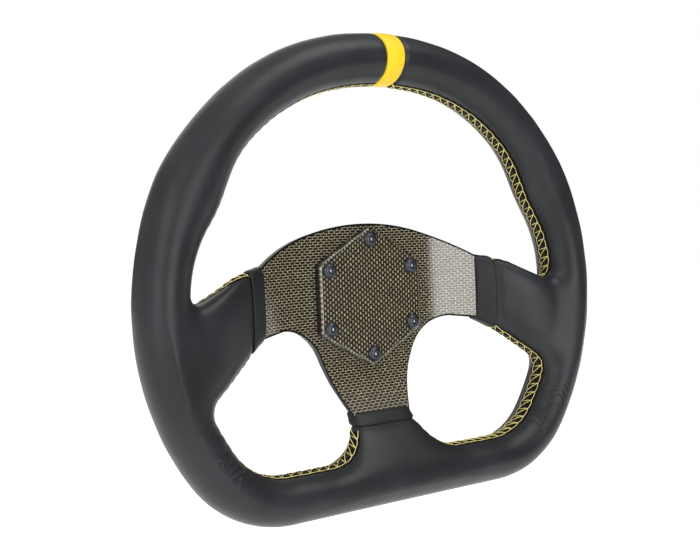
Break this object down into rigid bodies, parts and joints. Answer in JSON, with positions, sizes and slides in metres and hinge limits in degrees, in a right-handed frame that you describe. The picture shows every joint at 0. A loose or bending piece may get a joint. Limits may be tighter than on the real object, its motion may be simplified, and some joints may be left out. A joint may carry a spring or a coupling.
{
  "type": "quick release steering wheel",
  "caption": "D-shaped leather-wrapped steering wheel with a dished three-spoke carbon-weave plate, hexagonal hub cap and a ball-lock quick release hub.",
  "frame": {"origin": "on the wheel's axis, in the rear face of the release hub, where it meets the steering column", "axes": "+Y along the steering axis away from the driver, +Z towards twelve o'clock, +X towards three o'clock as the driver sees it"},
  "size_m": [0.3208, 0.0932, 0.2777],
  "materials": {
    "black_leather": "smooth black leather with a soft sheen",
    "yellow_leather": "smooth yellow leather",
    "yellow_thread": "waxed pale yellow thread",
    "rim_foam": "matt moulded polyurethane foam",
    "steel": "plain steel",
    "black_aluminium": "black anodised aluminium",
    "carbon_weave": "black and gold woven fibre under clear gloss resin",
    "black_plastic": "satin black plastic",
    "screw_steel": "blackened steel",
    "bright_aluminium": "clear anodised turned aluminium"
  },
  "bodies": {
    "wheel": {"rim_leather": "black_leather", "left_cuff": "black_leather", "right_cuff": "black_leather", "lower_cuff": "black_leather", "centre_mark": "yellow_leather", "upper_lacing": "yellow_thread", "left_lacing": "yellow_thread", "right_lacing": "yellow_thread", "rim_foam": "rim_foam", "rim_core": "steel", "spoke_armature": "black_aluminium", "face_plate": "carbon_weave", "hex_cap": "carbon_weave", "hex_spacer": "black_plastic", "release_hub": "black_aluminium", "retaining_ring": "steel", "collar_spring": "steel", "cap_screw_1": "screw_steel", "cap_screw_2": "screw_steel", "cap_screw_3": "screw_steel", "cap_screw_4": "screw_steel", "cap_screw_5": "screw_steel", "cap_screw_6": "screw_steel"},
    "collar": {"release_collar": "bright_aluminium"},
    "ball_1": {"lock_ball_1": "steel"},
    "ball_2": {"lock_ball_2": "steel"},
    "ball_3": {"lock_ball_3": "steel"},
    "ball_4": {"lock_ball_4": "steel"},
    "ball_5": {"lock_ball_5": "steel"},
    "ball_6": {"lock_ball_6": "steel"}
  },
  "joints": [
    {"name": "collar_slide", "type": "slide", "parent": "wheel", "child": "collar", "axis": [0, -1, 0], "range_m": [0, 0.008], "stiffness_N_per_m": 900, "springref_m": -0.006, "deforming": ["collar_spring"]},
    {"name": "ball_1_slide", "type": "slide", "parent": "wheel", "child": "ball_1", "axis": [0.866, 0, 0.5], "range_m": [0, 0.0016]},
    {"name": "ball_2_slide", "type": "slide", "parent": "wheel", "child": "ball_2", "axis": [0, 0, 1], "range_m": [0, 0.0016]},
    {"name": "ball_3_slide", "type": "slide", "parent": "wheel", "child": "ball_3", "axis": [-0.866, 0, 0.5], "range_m": [0, 0.0016]},
    {"name": "ball_4_slide", "type": "slide", "parent": "wheel", "child": "ball_4", "axis": [-0.866, 0, -0.5], "range_m": [0, 0.0016]},
    {"name": "ball_5_slide", "type": "slide", "parent": "wheel", "child": "ball_5", "axis": [0, 0, -1], "range_m": [0, 0.0016]},
    {"name": "ball_6_slide", "type": "slide", "parent": "wheel", "child": "ball_6", "axis": [0.866, 0, -0.5], "range_m": [0, 0.0016]}
  ],
  "couplings": [
    {"joint": "ball_1_slide", "follows": "collar_slide", "ratio": 0.2},
    {"joint": "ball_2_slide", "follows": "collar_slide", "ratio": 0.2},
    {"joint": "ball_3_slide", "follows": "collar_slide", "ratio": 0.2},
    {"joint": "ball_4_slide", "follows": "collar_slide", "ratio": 0.2},
    {"joint": "ball_5_slide", "follows": "collar_slide", "ratio": 0.2},
    {"joint": "ball_6_slide", "follows": "collar_slide", "ratio": 0.2}
  ]
}
